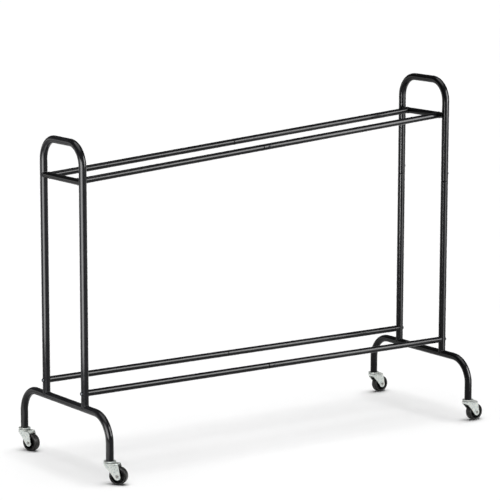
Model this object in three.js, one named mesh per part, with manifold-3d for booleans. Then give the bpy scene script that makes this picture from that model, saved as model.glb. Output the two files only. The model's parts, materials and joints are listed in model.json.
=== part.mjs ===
// Two-tier ball cart. Two tubular end frames on swivel casters carry four rails.
// Millimetres, +Z up. +X runs along the rails to the taller end and -Y is the front.
// The origin is on the floor under the middle of the whole outline, which the casters
// reach past the frame at the right and at the front as they stand.
import * as THREE from 'three';
import { mergeVertices } from 'three/addons/utils/BufferGeometryUtils.js';
import Module from 'manifold-3d';

const wasm = await Module();
wasm.setup();

// Where the middle of the frame lies from the origin
const FRAME_X = -16.8;
const FRAME_Y = 13.6;

// Driving dimensions of the frame
const LENGTH = 1296;              // between the post axes of the two ends
const POST_SPACING = 211;         // between the front and rear post axes
const FOOT_SPREAD = 470;          // between the front and rear leg axes
const FOOT_HEIGHT = 189;          // axis of the level run of each foot tube
const LEG_END = 67;               // open lower end of each leg
const LOWER_RAIL_HEIGHT = 233;
const UPPER_RAIL_LOW = 830;       // upper deck at the left end
const UPPER_RAIL_HIGH = 930;      // upper deck at the right end, so that it feeds to the left
const UPPER_RAIL_SPACING = 153;
const HOOP_TOP_LEFT = 936;
const HOOP_TOP_RIGHT = 1037;
const HOOP_BEND = 63;             // centreline bend radius
const FOOT_BEND = 73;
const POST_RADIUS = 11;           // 22 mm tube
const POST_WALL = 1.5;
const RAIL_RADIUS = 9.2;          // 18.4 mm tube
const RAIL_WALL = 1.2;
const GAP = 0.3;                  // clearance between touching pieces
const COPE = 2;                   // a coped end starts this far short of the other tube's axis

// Splices and rail joints
const SPLICE_SEAM = 730;          // where the right hoop sits on its posts
const SPLICE_SCREW = 752;
const SPIGOT_LENGTH = 45;
const SPIGOT_GAP = 0.5;
const SWAGE = 2;                  // length of the drawn shoulder at a spigot
const RAIL_SEAM_X = -15;          // where the two halves of each rail meet
const RAIL_SCREW_X = 3;

// Fasteners
const SCREW_RADIUS = 2.4;
const SCREW_LENGTH = 10;
const SCREW_HEAD = 4.2;
const SCREW_HEAD_HEIGHT = 2.6;
const BOLT_RADIUS = 3;
const BOLT_LENGTH = 44;
const BOLT_HEAD = 5.4;
const BOLT_HEAD_HEIGHT = 4;
const DOME = 0.7;                 // of a head's radius, left flat on top of its dome
const HOLE_GAP = 0.55;
const PLUG_LENGTH = 20;

// Casters, measured from the swivel axis and the floor
const WHEEL_RADIUS = 25.5;
const WHEEL_HALF_WIDTH = 10.2;
const TRAIL = 25.5;               // swivel axis to axle
const HEADINGS = {                // degrees about +Z, the way each wheel trails as it stands
  left_front: -51,
  left_rear: -72,
  right_front: 1,
  right_rear: 3,
};
const FORK_TOP = 61;
const FORK_HALF_WIDTH = 14.2;
const FORK_PLATE = 2.2;
const FORK_TIP = 9.3;             // radius of the rounded lower end
const FORK_TIP_DROP = 1.2;        // how far the middle of that end lies below the axle
const FORK_FRONT = -10.4;         // where the cheeks meet the round skirt of the head
const FORK_BROW = 52;             // height of the cheek's front edge there
const FORK_SWEEP = [-4, 47.5];    // bends the front edge on its way down
const FORK_SHOULDER = [30, 50];   // the cheek's rear edge, and the crown's below
const FORK_TAIL = 27;
const FORK_SKIRT = 55.5;          // lower edge of the head's round skirt
const FOLD_RADIUS = 2;            // inside the bends between crown and sides
const RACE_RADIUS = 17.6;
const RACE_LIP = 1.3;             // wall of the two pressed race cups
const RACE_EDGE = 0.8;
const RACE_PLATE = 2.4;
const RACE_DEPTH = 3.2;
const BALL_RADIUS = 1.15;
const BALL_CIRCLE = 13.3;
const KINGPIN_RADIUS = 4.4;
const RIVET_RADIUS = 6.8;
const RIVET_HEIGHT = 2.3;
const STEM_RADIUS = 4.8;
const STEM_LENGTH = 28;
const SOCKET_DEPTH = 30;
const SEAT_GAP = 0.4;             // play where a turning piece faces a fixed one
const AXLE_RADIUS = 3;
const AXLE_HEAD = 4.6;
const AXLE_HEAD_HEIGHT = 1.8;
const JOURNAL_RADIUS = 4;         // the axle inside the wheel
const HUB_BORE = 4.6;
const HUB_BOSS = 7;
const HUB_RIM = 20.2;
const HUB_RIM_WALL = 2.6;
const HUB_WEB = 2.6;              // half the thickness of the disc inside the rim
const DRAFT = 0.6;                // taper of the moulded hub over its depth
const TYRE_BORE = 20.7;
const TYRE_SHOULDER = 2.4;

// Facets
const TUBE_SIDES = 12;
const BEND_STEPS = 5;
const WHEEL_SIDES = 24;
const CASTER_SIDES = 14;
const AXLE_SIDES = 8;
const SCREW_SIDES = 8;

const HALF_LENGTH = LENGTH / 2;
const HALF_POSTS = POST_SPACING / 2;
const HALF_FEET = FOOT_SPREAD / 2;
const HALF_DECK = UPPER_RAIL_SPACING / 2;
const SLOPE = Math.atan2(UPPER_RAIL_HIGH - UPPER_RAIL_LOW, LENGTH);
const DECK_HALF_LENGTH = HALF_LENGTH / Math.cos(SLOPE);
const ENDS = { left: -1, right: 1 };
const SIDES = { front: -1, rear: 1 };

// Finishes
const paint = new THREE.MeshStandardMaterial({ color: 0x17181a, roughness: 0.3, metalness: 0.2 });
const zinc = new THREE.MeshStandardMaterial({ color: 0xc3c9c6, roughness: 0.32, metalness: 0.9 });
const blackScrew = new THREE.MeshStandardMaterial({ color: 0x1c1c1e, roughness: 0.4, metalness: 0.6 });
const wheelPlastic = new THREE.MeshStandardMaterial({ color: 0x141414, roughness: 0.35, metalness: 0 });
const tyreRubber = new THREE.MeshStandardMaterial({ color: 0x1b1b1c, roughness: 0.65, metalness: 0 });
const socketPlastic = new THREE.MeshStandardMaterial({ color: 0x202022, roughness: 0.6, metalness: 0 });

const cart = new THREE.Group();
cart.position.set(FRAME_X, FRAME_Y, 0);

// Solids and meshes

function solidOf(geometry) {
  const bare = geometry.clone();
  bare.deleteAttribute('normal');
  bare.deleteAttribute('uv');
  const merged = mergeVertices(bare, 1e-4);
  return new wasm.Manifold(new wasm.Mesh({
    numProp: 3,
    vertProperties: new Float32Array(merged.attributes.position.array),
    triVerts: new Uint32Array(merged.index.array),
  }));
}

function geometryOf(solid) {
  const mesh = solid.getMesh();
  const geometry = new THREE.BufferGeometry();
  geometry.setAttribute('position', new THREE.BufferAttribute(mesh.vertProperties, 3));
  geometry.setIndex(new THREE.BufferAttribute(mesh.triVerts, 1));
  geometry.computeVertexNormals();
  return geometry;
}

function cutAway(geometry, ...tools) {
  return geometryOf(tools.reduce((solid, tool) => solid.subtract(solidOf(tool)), solidOf(geometry)));
}

function add(parent, name, geometry, material) {
  const mesh = new THREE.Mesh(geometry, material);
  mesh.name = name;
  parent.add(mesh);
  return mesh;
}

// A polygon with the same area as the circle that it stands for.
function vertexRadius(radius, sides) {
  return radius * Math.sqrt((2 * Math.PI) / (sides * Math.sin((2 * Math.PI) / sides)));
}

function circlePoints(radius, sides) {
  const reach = vertexRadius(radius, sides);
  return Array.from({ length: sides }, (_, i) => {
    const angle = (i * 2 * Math.PI) / sides;
    return new THREE.Vector2(reach * Math.cos(angle), reach * Math.sin(angle));
  });
}

// A profile of [radius, height] pairs turned about the Z axis.
function turned(profile, sides) {
  const points = profile.map(([radius, height]) => new THREE.Vector2(vertexRadius(radius, sides), height));
  return new THREE.LatheGeometry(points, sides).rotateX(Math.PI / 2);
}

function closedRing(profile) {
  return [...profile, profile[0]];
}

function rod(radius, length, sides = SCREW_SIDES) {
  const half = length / 2;
  return turned([[0, -half], [radius, -half], [radius, half], [0, half]], sides);
}

const alongX = (geometry) => geometry.rotateY(Math.PI / 2);
const alongY = (geometry) => geometry.rotateX(-Math.PI / 2);

// Bent tubes

// Stations along a path of straight runs and round bends. Each straight run is one step
// and each bend has BEND_STEPS, so every section of the tube stands square to the path.
class TubeRoute extends THREE.Curve {
  constructor(corners, bendRadius) {
    super();
    this.points = [];
    this.tangents = [];
    this.addStation(corners[0], corners[1].clone().sub(corners[0]).normalize());
    for (let i = 1; i < corners.length - 1; i += 1) {
      this.addBend(corners[i - 1], corners[i], corners[i + 1], bendRadius);
    }
    const last = corners.length - 1;
    this.addStation(corners[last], corners[last].clone().sub(corners[last - 1]).normalize());
  }

  addStation(point, tangent) {
    this.points.push(point);
    this.tangents.push(tangent);
  }

  addBend(before, corner, after, radius) {
    const into = corner.clone().sub(before).normalize();
    const away = after.clone().sub(corner).normalize();
    const turn = into.angleTo(away);
    const reach = radius * Math.tan(turn / 2);
    const start = corner.clone().addScaledVector(into, -reach);
    const inward = away.clone().addScaledVector(into, -away.dot(into)).normalize();
    const centre = start.clone().addScaledVector(inward, radius);
    for (let step = 0; step <= BEND_STEPS; step += 1) {
      const angle = (turn * step) / BEND_STEPS;
      const point = centre.clone()
        .addScaledVector(inward, -radius * Math.cos(angle))
        .addScaledVector(into, radius * Math.sin(angle));
      const tangent = into.clone().multiplyScalar(Math.cos(angle)).addScaledVector(inward, Math.sin(angle));
      this.addStation(point, tangent);
    }
  }

  get steps() {
    return this.points.length - 1;
  }

  getPointAt(u) {
    return this.points[Math.round(u * this.steps)].clone();
  }

  getTangentAt(u) {
    return this.tangents[Math.round(u * this.steps)].clone();
  }
}

function tubeSection(radius, wall) {
  const section = new THREE.Shape(circlePoints(radius, TUBE_SIDES));
  section.holes.push(new THREE.Path(circlePoints(radius - wall, TUBE_SIDES)));
  return section;
}

// An upside-down U of tube in the plane across the cart.
function bentHoop(x, halfWidth, lowerEnd, top, bendRadius) {
  const corners = [
    new THREE.Vector3(x, -halfWidth, lowerEnd),
    new THREE.Vector3(x, -halfWidth, top),
    new THREE.Vector3(x, halfWidth, top),
    new THREE.Vector3(x, halfWidth, lowerEnd),
  ];
  const route = new TubeRoute(corners, bendRadius);
  return new THREE.ExtrudeGeometry(tubeSection(POST_RADIUS, POST_WALL), {
    extrudePath: route,
    steps: route.steps,
  });
}

// Tools that cut saddles and holes

function saddleTool(radius, length) {
  return rod(radius + GAP, length, TUBE_SIDES);
}

const footSaddle = (x) => alongY(saddleTool(POST_RADIUS, FOOT_SPREAD)).translate(x, 0, FOOT_HEIGHT);

function boltHole(x, y) {
  const hole = alongX(rod(BOLT_RADIUS + HOLE_GAP, 4 * POST_RADIUS));
  return hole.translate(x, y, LOWER_RAIL_HEIGHT);
}

// Through the outer wall only, which is on the +X side of the right end.
function spliceHole(y) {
  const hole = alongX(rod(SCREW_RADIUS + HOLE_GAP, 2 * POST_RADIUS));
  return hole.translate(HALF_LENGTH + POST_RADIUS, y, SPLICE_SCREW);
}

// End frames

function makeFoot(end) {
  const foot = bentHoop(ENDS[end] * HALF_LENGTH, HALF_FEET, LEG_END, FOOT_HEIGHT, FOOT_BEND);
  add(cart, `${end}_foot_tube`, foot, paint);
}

// The left end is one tube from foot to foot over the top.
function makeLeftHoop() {
  const x = -HALF_LENGTH;
  const hoop = bentHoop(x, HALF_POSTS, FOOT_HEIGHT + COPE, HOOP_TOP_LEFT, HOOP_BEND);
  const holes = [boltHole(x, -HALF_POSTS), boltHole(x, HALF_POSTS)];
  add(cart, 'left_end_hoop', cutAway(hoop, footSaddle(x), ...holes), paint);
}

// The right end is taller, so its hoop lifts off two posts with swaged tops.
function makeRightHoop() {
  const hoop = bentHoop(HALF_LENGTH, HALF_POSTS, SPLICE_SEAM, HOOP_TOP_RIGHT, HOOP_BEND);
  add(cart, 'right_top_hoop', cutAway(hoop, spliceHole(-HALF_POSTS), spliceHole(HALF_POSTS)), paint);
}

// A tube whose end is drawn down into a spigot that fits inside the next tube.
function swagedTube(start, seam, radius, wall) {
  const spigot = radius - wall - SPIGOT_GAP;
  const tip = seam + SPIGOT_LENGTH;
  return turned(closedRing([
    [radius, start],
    [radius, seam - SWAGE],
    [spigot, seam],
    [spigot, tip],
    [spigot - wall, tip],
    [spigot - wall, seam - wall],
    [radius - wall, seam - SWAGE - wall],
    [radius - wall, start],
  ]), TUBE_SIDES);
}

function makeRightPost(side) {
  const y = SIDES[side] * HALF_POSTS;
  const tube = swagedTube(FOOT_HEIGHT + COPE, SPLICE_SEAM, POST_RADIUS, POST_WALL).translate(HALF_LENGTH, y, 0);
  const post = cutAway(tube, footSaddle(HALF_LENGTH), boltHole(HALF_LENGTH, y), spliceHole(y));
  add(cart, `right_${side}_post`, post, paint);
}

function makeCrossBar(end) {
  const height = end === 'left' ? UPPER_RAIL_LOW : UPPER_RAIL_HIGH;
  const half = HALF_POSTS - COPE;
  const inner = RAIL_RADIUS - RAIL_WALL;
  const bar = alongY(turned(closedRing([
    [RAIL_RADIUS, -half], [RAIL_RADIUS, half], [inner, half], [inner, -half],
  ]), TUBE_SIDES));
  const saddles = [-HALF_POSTS, HALF_POSTS].map((y) => saddleTool(POST_RADIUS, POST_SPACING).translate(0, y, 0));
  const mesh = add(cart, `${end}_cross_bar`, cutAway(bar, ...saddles), paint);
  mesh.position.set(ENDS[end] * HALF_LENGTH, 0, height);
}

// Rails

// One half of a rail, along +X from the middle of the rail. The left half carries the
// spigot and the right half is the sleeve. saddle is the tool that shapes the outer end.
function railHalf(end, reach, saddle, screwHole) {
  const inner = RAIL_RADIUS - RAIL_WALL;
  const sleeve = closedRing([
    [RAIL_RADIUS, RAIL_SEAM_X], [RAIL_RADIUS, reach], [inner, reach], [inner, RAIL_SEAM_X],
  ]);
  const tube = end === 'left'
    ? swagedTube(-reach, RAIL_SEAM_X, RAIL_RADIUS, RAIL_WALL)
    : turned(sleeve, TUBE_SIDES);
  return cutAway(alongX(tube), saddle, screwHole);
}

function railScrewHole(side) {
  const hole = alongY(rod(SCREW_RADIUS + HOLE_GAP, 2 * RAIL_RADIUS));
  return hole.translate(RAIL_SCREW_X, SIDES[side] * RAIL_RADIUS, 0);
}

// The upper rails are welded to the cross bars, with a saddle that lies along Y.
function makeUpperRail(end, side) {
  const saddle = alongY(saddleTool(RAIL_RADIUS, POST_SPACING)).translate(ENDS[end] * DECK_HALF_LENGTH, 0, 0);
  const half = railHalf(end, DECK_HALF_LENGTH - COPE, saddle, railScrewHole(side));
  const mesh = add(cart, `upper_${side}_rail_${end}`, half, paint);
  mesh.position.set(0, SIDES[side] * HALF_DECK, (UPPER_RAIL_LOW + UPPER_RAIL_HIGH) / 2);
  mesh.rotation.y = -SLOPE;
}

// The lower rails are bolted between the posts, with upright saddles.
function makeLowerRail(end, side) {
  const saddle = saddleTool(POST_RADIUS, 4 * RAIL_RADIUS).translate(ENDS[end] * HALF_LENGTH, 0, 0);
  const half = railHalf(end, HALF_LENGTH - COPE, saddle, railScrewHole(side));
  const mesh = add(cart, `lower_${side}_rail_${end}`, half, paint);
  mesh.position.set(0, SIDES[side] * HALF_POSTS, LOWER_RAIL_HEIGHT);
}

// Fasteners. Each points along +Z, with the underside of its head at z = 0.

function domedScrew(head, headHeight, shank, length) {
  return turned([
    [0, -length], [shank, -length], [shank, 0],
    [head, 0], [head, headHeight / 2], [head * DOME, headHeight], [0, headHeight],
  ], SCREW_SIDES);
}

const panScrew = () => domedScrew(SCREW_HEAD, SCREW_HEAD_HEIGHT, SCREW_RADIUS, SCREW_LENGTH);

function makeRailScrew(tier, side) {
  const outward = SIDES[side];
  const upper = tier === 'upper';
  const y = outward * ((upper ? HALF_DECK : HALF_POSTS) + RAIL_RADIUS + GAP);
  const height = upper ? (UPPER_RAIL_LOW + UPPER_RAIL_HIGH) / 2 : LOWER_RAIL_HEIGHT;
  const rise = upper ? RAIL_SCREW_X * Math.sin(SLOPE) : 0;
  const mesh = add(cart, `${tier}_${side}_rail_screw`, panScrew(), blackScrew);
  mesh.position.set(RAIL_SCREW_X, y, height + rise);
  mesh.rotation.x = (-outward * Math.PI) / 2;
}

function makeSpliceScrew(side) {
  const mesh = add(cart, `right_${side}_splice_screw`, panScrew(), blackScrew);
  mesh.position.set(HALF_LENGTH + POST_RADIUS + GAP, SIDES[side] * HALF_POSTS, SPLICE_SCREW);
  mesh.rotation.y = Math.PI / 2;
}

// Each lower rail end is held by a bolt through the post into a threaded plug.
function makeRailBolt(end, side) {
  const outward = ENDS[end];
  const y = SIDES[side] * HALF_POSTS;
  const geometry = domedScrew(BOLT_HEAD, BOLT_HEAD_HEIGHT, BOLT_RADIUS, BOLT_LENGTH);
  const bolt = add(cart, `${end}_${side}_rail_bolt`, geometry, blackScrew);
  bolt.position.set(outward * (HALF_LENGTH + POST_RADIUS + GAP), y, LOWER_RAIL_HEIGHT);
  bolt.rotation.y = (outward * Math.PI) / 2;

  const outer = RAIL_RADIUS - RAIL_WALL - SPIGOT_GAP;
  const bore = BOLT_RADIUS + HOLE_GAP;
  const near = HALF_LENGTH - POST_RADIUS - 2 * GAP;
  const far = near - PLUG_LENGTH;
  const ring = closedRing([[outer, far], [outer, near], [bore, near], [bore, far]]);
  const plug = add(cart, `${end}_${side}_rail_plug`, turned(ring, TUBE_SIDES), zinc);
  plug.position.set(0, y, LOWER_RAIL_HEIGHT);
  plug.rotation.y = (outward * Math.PI) / 2;
}

// Casters. Each is built at its swivel axis, trailing along +X.

function stemSocket() {
  const outer = POST_RADIUS - POST_WALL - SPIGOT_GAP;
  const bore = STEM_RADIUS + SPIGOT_GAP;
  const low = LEG_END + GAP;
  const high = LEG_END + SOCKET_DEPTH;
  return turned(closedRing([[outer, low], [outer, high], [bore, high], [bore, low]]), TUBE_SIDES);
}

// The stem, the upper race and the riveted end under the fork are one turned piece.
function casterStem() {
  const top = LEG_END - SEAT_GAP;
  const rivet = FORK_TOP - FORK_PLATE - SPIGOT_GAP;
  const cup = RACE_RADIUS - RACE_LIP;
  return turned([
    [0, rivet - RIVET_HEIGHT], [RIVET_RADIUS - RACE_EDGE, rivet - RIVET_HEIGHT], [RIVET_RADIUS, rivet],
    [KINGPIN_RADIUS, rivet], [KINGPIN_RADIUS, top - RACE_PLATE],
    [cup, top - RACE_PLATE], [cup, top - RACE_DEPTH], [RACE_RADIUS, top - RACE_DEPTH],
    [RACE_RADIUS, top - RACE_EDGE], [RACE_RADIUS - RACE_EDGE, top],
    [STEM_RADIUS, top], [STEM_RADIUS, top + STEM_LENGTH], [0, top + STEM_LENGTH],
  ], CASTER_SIDES);
}

// The balls and their cage, which run between the two races.
function ballRing() {
  const inner = BALL_CIRCLE - BALL_RADIUS;
  const outer = BALL_CIRCLE + BALL_RADIUS;
  const low = FORK_TOP + SEAT_GAP;
  const high = low + 2 * BALL_RADIUS;
  return turned(closedRing([[inner, low], [outer, low], [outer, high], [inner, high]]), CASTER_SIDES);
}

// The side of the fork: a wide top that sweeps down to a rounded tip round the axle.
function forkSide() {
  const above = FORK_TOP + FORK_PLATE;
  const tip = new THREE.Vector2(TRAIL, WHEEL_RADIUS - FORK_TIP_DROP);
  const outline = new THREE.Shape();
  outline.moveTo(FORK_FRONT, above);
  outline.lineTo(FORK_FRONT, FORK_BROW);
  outline.quadraticCurveTo(...FORK_SWEEP, tip.x - FORK_TIP, tip.y);
  outline.absarc(tip.x, tip.y, FORK_TIP, Math.PI, 2 * Math.PI, false);
  outline.lineTo(...FORK_SHOULDER);
  outline.lineTo(FORK_TAIL, above);
  const depth = 4 * FORK_HALF_WIDTH;
  const side = new THREE.ExtrudeGeometry(outline, { depth, bevelEnabled: false, curveSegments: 4 });
  return side.rotateX(Math.PI / 2).translate(0, depth / 2, 0);
}

// The sheet seen end on: a folded strip with round shoulders, run along X.
function forkSheet() {
  const outer = FORK_HALF_WIDTH;
  const inner = FORK_HALF_WIDTH - FORK_PLATE;
  const bottom = WHEEL_RADIUS - FORK_TIP_DROP - FORK_TIP - 1;
  const inside = FOLD_RADIUS;
  const outside = FOLD_RADIUS + FORK_PLATE;
  const centre = FORK_TOP - outside;
  const fold = new THREE.Shape();
  fold.moveTo(-outer, bottom);
  fold.lineTo(-inner, bottom);
  fold.absarc(-inner + inside, centre, inside, Math.PI, Math.PI / 2, true);
  fold.absarc(inner - inside, centre, inside, Math.PI / 2, 0, true);
  fold.lineTo(inner, bottom);
  fold.lineTo(outer, bottom);
  fold.absarc(outer - outside, centre, outside, 0, Math.PI / 2, false);
  fold.absarc(-outer + outside, centre, outside, Math.PI / 2, Math.PI, false);
  const depth = 2 * (TRAIL + RACE_RADIUS);
  const strip = new THREE.ExtrudeGeometry(fold, { depth, bevelEnabled: false, curveSegments: 2 });
  return strip.rotateX(Math.PI / 2).rotateZ(Math.PI / 2).translate(-depth / 2, 0, 0);
}

// The lower race, pressed into the top of the fork round the swivel axis.
function forkHead() {
  const under = FORK_TOP - FORK_PLATE;
  return turned([
    [0, under], [RACE_RADIUS, under], [RACE_RADIUS, FORK_TOP + RACE_EDGE],
    [RACE_RADIUS - RACE_LIP, FORK_TOP + RACE_EDGE], [RACE_RADIUS - RACE_LIP, FORK_TOP], [0, FORK_TOP],
  ], CASTER_SIDES);
}

// The skirt that hangs from the head and joins the two cheeks round the front.
function forkSkirt() {
  const inner = RACE_RADIUS - FORK_PLATE;
  const under = FORK_TOP - FORK_PLATE;
  const ring = turned(closedRing([
    [inner, FORK_SKIRT], [RACE_RADIUS, FORK_SKIRT], [RACE_RADIUS, under], [inner, under],
  ]), CASTER_SIDES);
  return solidOf(ring).trimByPlane([-1, 0, 0], -FORK_FRONT - FORK_PLATE);
}

function casterFork() {
  const folded = solidOf(forkSheet()).intersect(solidOf(forkSide())).add(forkSkirt());
  const pivotHole = rod(KINGPIN_RADIUS + HOLE_GAP, RACE_RADIUS, CASTER_SIDES).translate(0, 0, FORK_TOP);
  const drill = rod(AXLE_RADIUS + HOLE_GAP, 4 * FORK_HALF_WIDTH, AXLE_SIDES);
  const axleHole = alongY(drill).translate(TRAIL, 0, WHEEL_RADIUS);
  return geometryOf(folded.add(solidOf(forkHead())).subtract(solidOf(pivotHole)).subtract(solidOf(axleHole)));
}

// A stepped axle: the thick middle is the wheel's bearing and the thin ends are riveted.
function casterAxle() {
  const shoulder = FORK_HALF_WIDTH - FORK_PLATE - SEAT_GAP;
  const face = FORK_HALF_WIDTH + GAP;
  const tip = face + AXLE_HEAD_HEIGHT;
  const crown = AXLE_HEAD * DOME;
  return alongY(turned([
    [0, -tip], [crown, -tip], [AXLE_HEAD, -face], [AXLE_RADIUS, -face], [AXLE_RADIUS, -shoulder],
    [JOURNAL_RADIUS, -shoulder], [JOURNAL_RADIUS, shoulder],
    [AXLE_RADIUS, shoulder], [AXLE_RADIUS, face], [AXLE_HEAD, face], [crown, tip], [0, tip],
  ], AXLE_SIDES));
}

function wheelHub() {
  const boss = FORK_HALF_WIDTH - FORK_PLATE - 2 * GAP;
  const rim = WHEEL_HALF_WIDTH - SEAT_GAP;
  const inside = HUB_RIM - HUB_RIM_WALL;
  return alongY(turned(closedRing([
    [HUB_BORE, -boss], [HUB_BOSS, -boss], [HUB_BOSS + DRAFT, -HUB_WEB],
    [inside - DRAFT, -HUB_WEB], [inside, -rim], [HUB_RIM, -rim],
    [HUB_RIM, rim], [inside, rim], [inside - DRAFT, HUB_WEB],
    [HUB_BOSS + DRAFT, HUB_WEB], [HUB_BOSS, boss], [HUB_BORE, boss],
  ]), CASTER_SIDES));
}

// The tread is flat between its round shoulders, and one facet lies on the floor.
function wheelTyre() {
  const w = WHEEL_HALF_WIDTH;
  const r = WHEEL_RADIUS;
  const s = TYRE_SHOULDER;
  const cut = s * (1 - Math.SQRT1_2);
  const flat = 1 / Math.cos(Math.PI / WHEEL_SIDES);
  const profile = closedRing([
    [TYRE_BORE, -w], [r - s, -w], [r - cut, -w + cut], [r, -w + s],
    [r, w - s], [r - cut, w - cut], [r - s, w], [TYRE_BORE, w],
  ]);
  const points = profile.map(([radius, y]) => new THREE.Vector2(radius * flat, y));
  return new THREE.LatheGeometry(points, WHEEL_SIDES, Math.PI / WHEEL_SIDES);
}

function makeCaster(end, side) {
  const corner = `${end}_${side}`;
  const caster = new THREE.Group();
  caster.position.set(ENDS[end] * HALF_LENGTH, SIDES[side] * HALF_FEET, 0);
  caster.rotation.z = THREE.MathUtils.degToRad(HEADINGS[corner]);
  add(caster, `${corner}_stem_socket`, stemSocket(), socketPlastic);
  add(caster, `${corner}_caster_stem`, casterStem(), zinc);
  add(caster, `${corner}_ball_ring`, ballRing(), zinc);
  add(caster, `${corner}_fork`, casterFork(), zinc);
  const wheel = new THREE.Group();
  wheel.position.set(TRAIL, 0, WHEEL_RADIUS);
  add(wheel, `${corner}_axle`, casterAxle(), zinc);
  add(wheel, `${corner}_wheel_hub`, wheelHub(), wheelPlastic);
  add(wheel, `${corner}_tyre`, wheelTyre(), tyreRubber);
  caster.add(wheel);
  cart.add(caster);
}

// Assembly

for (const end of Object.keys(ENDS)) {
  makeFoot(end);
  makeCrossBar(end);
}
makeLeftHoop();
makeRightHoop();
for (const side of Object.keys(SIDES)) {
  makeRightPost(side);
  makeSpliceScrew(side);
  for (const tier of ['upper', 'lower']) makeRailScrew(tier, side);
  for (const end of Object.keys(ENDS)) {
    makeUpperRail(end, side);
    makeLowerRail(end, side);
    makeRailBolt(end, side);
    makeCaster(end, side);
  }
}

export default new THREE.Group().add(cart);
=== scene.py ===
# %% [markdown]
# # A two-tier ball cart, made one piece at a time
# The real cart is cut, bent, welded and bolted from thin round steel tube, powder coated
# gloss black, and it rolls on four small swivel casters. A measured model of it, built
# from plain facets, is loaded first and is never moved or reshaped. Nearly every piece
# made here is laid over solids of that model, so the sizes are settled before the looks.

# %% Load the measured model
import json
import math

import bmesh
import bpy
from mathutils import Euler, Matrix, Vector

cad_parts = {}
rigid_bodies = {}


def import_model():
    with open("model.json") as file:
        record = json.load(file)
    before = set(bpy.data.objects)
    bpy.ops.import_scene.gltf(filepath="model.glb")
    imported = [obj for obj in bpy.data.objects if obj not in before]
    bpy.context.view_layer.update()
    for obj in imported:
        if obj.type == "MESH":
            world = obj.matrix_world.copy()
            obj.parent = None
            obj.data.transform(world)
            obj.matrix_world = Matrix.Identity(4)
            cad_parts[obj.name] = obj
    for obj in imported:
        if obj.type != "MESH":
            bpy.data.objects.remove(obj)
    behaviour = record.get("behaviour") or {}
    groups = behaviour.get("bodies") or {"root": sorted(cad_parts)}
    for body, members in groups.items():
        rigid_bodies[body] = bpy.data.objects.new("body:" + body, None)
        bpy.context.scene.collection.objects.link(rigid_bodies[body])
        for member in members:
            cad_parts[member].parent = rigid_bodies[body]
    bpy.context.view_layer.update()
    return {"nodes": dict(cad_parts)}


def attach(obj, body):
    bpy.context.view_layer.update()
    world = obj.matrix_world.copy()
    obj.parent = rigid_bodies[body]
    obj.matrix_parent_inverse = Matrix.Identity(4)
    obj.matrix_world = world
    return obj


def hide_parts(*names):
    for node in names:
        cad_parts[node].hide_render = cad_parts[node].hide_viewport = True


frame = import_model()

scene = bpy.context.scene

# %% [markdown]
# ## Sizes
# Every length is worked in millimetres, as a maker's drawing gives it, and one factor
# turns it into the metres that Blender works in. The frame could be measured off the
# loaded solids instead, but the drawing's own numbers keep each step readable by itself.

# %% Sizes of the cart
MM = 0.001
MIDDLE = Vector((-16.8, 13.6, 0)) * MM    # the middle of the frame, from the origin
HALF_LENGTH = 648 * MM                    # middle to the post axes of one end
HALF_POSTS = 105.5 * MM                   # middle to the post axes of one side
HALF_FEET = 235 * MM                      # middle to the caster axes
HALF_DECK = 76.5 * MM                     # middle to the axis of an upper rail
FOOT_HEIGHT = 189 * MM
LEG_END = 67 * MM
LOWER_RAIL = 233 * MM
UPPER_RAIL = {"left": 830 * MM, "right": 930 * MM}
HOOP_TOP = {"left": 936 * MM, "right": 1037 * MM}
HOOP_BEND = 63 * MM
FOOT_BEND = 73 * MM
POST_RADIUS = 11 * MM
POST_WALL = 1.5 * MM
RAIL_RADIUS = 9.2 * MM
RAIL_WALL = 1.2 * MM
ENDS = {"left": -1, "right": 1}
SIDES = {"front": -1, "rear": 1}
QUARTER = math.pi / 2
SLOPE = math.atan2(UPPER_RAIL["right"] - UPPER_RAIL["left"], 2 * HALF_LENGTH)
print("the upper deck falls", round(math.degrees(SLOPE), 2), "degrees to the left")

# %% [markdown]
# ## The camera
# The picture is taken from in front and to the left, a little above the cart, with a
# long lens from more than seven metres away, which is why the rails hardly draw together.
# It is cut from a wider frame whose middle lay lower, so the posts lean a little more
# than a level look at the cart would give. A small shift of the lens brings that back.

# %% Camera
CAMERA_PLACE = (-4.2264, -5.9444, 1.8331)       # metres
TURN, DIP, ROLL = -35.3767, 10.3468, 0.1353     # degrees: aside, down, and round its axis

camera = bpy.data.objects.new("camera", bpy.data.cameras.new("camera"))
camera.data.sensor_width = 36
camera.data.lens = 179.75
camera.data.shift_x, camera.data.shift_y = -0.0153, 0.0409
camera.data.clip_end = 200
camera.matrix_world = (Matrix.Translation(CAMERA_PLACE)
                       @ Matrix.Rotation(math.radians(TURN), 4, "Z")
                       @ Matrix.Rotation(math.radians(90 - DIP), 4, "X")
                       @ Matrix.Rotation(math.radians(ROLL), 4, "Z"))
scene.collection.objects.link(camera)
scene.camera = camera
print("camera", round((camera.location - Vector((0, 0, 0.5))).length, 2), "m from the cart")

# %% [markdown]
# ## Colour and nodes
# Colours are written as the hex values that a colour picker shows, and one function
# turns them into the linear values that light adds up in. Another adds any node, with
# its settings and with what each socket is given, so that a material or a shape reads
# from top to bottom as a list of steps. Where a socket is given a whole node, the node's
# first output is meant.

# %% Helpers for colour and nodes
def rgb(code):
    """The linear colour of an sRGB hex value such as "#1A2B3C"."""
    parts = [int(code[i:i + 2], 16) / 255 for i in (1, 3, 5)]
    linear = [p / 12.92 if p <= 0.04045 else ((p + 0.055) / 1.055) ** 2.4 for p in parts]
    return (*linear, 1)


def plug(node, inputs):
    """Gives each socket a value, an output or a node, or a list where it takes several."""
    for key, given in inputs.items():
        for source in given if isinstance(given, list) else [given]:
            if isinstance(source, bpy.types.Node):
                source = source.outputs[0]
            if isinstance(source, bpy.types.NodeSocket):
                node.id_data.links.new(source, node.inputs[key])
            else:
                node.inputs[key].default_value = source


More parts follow.
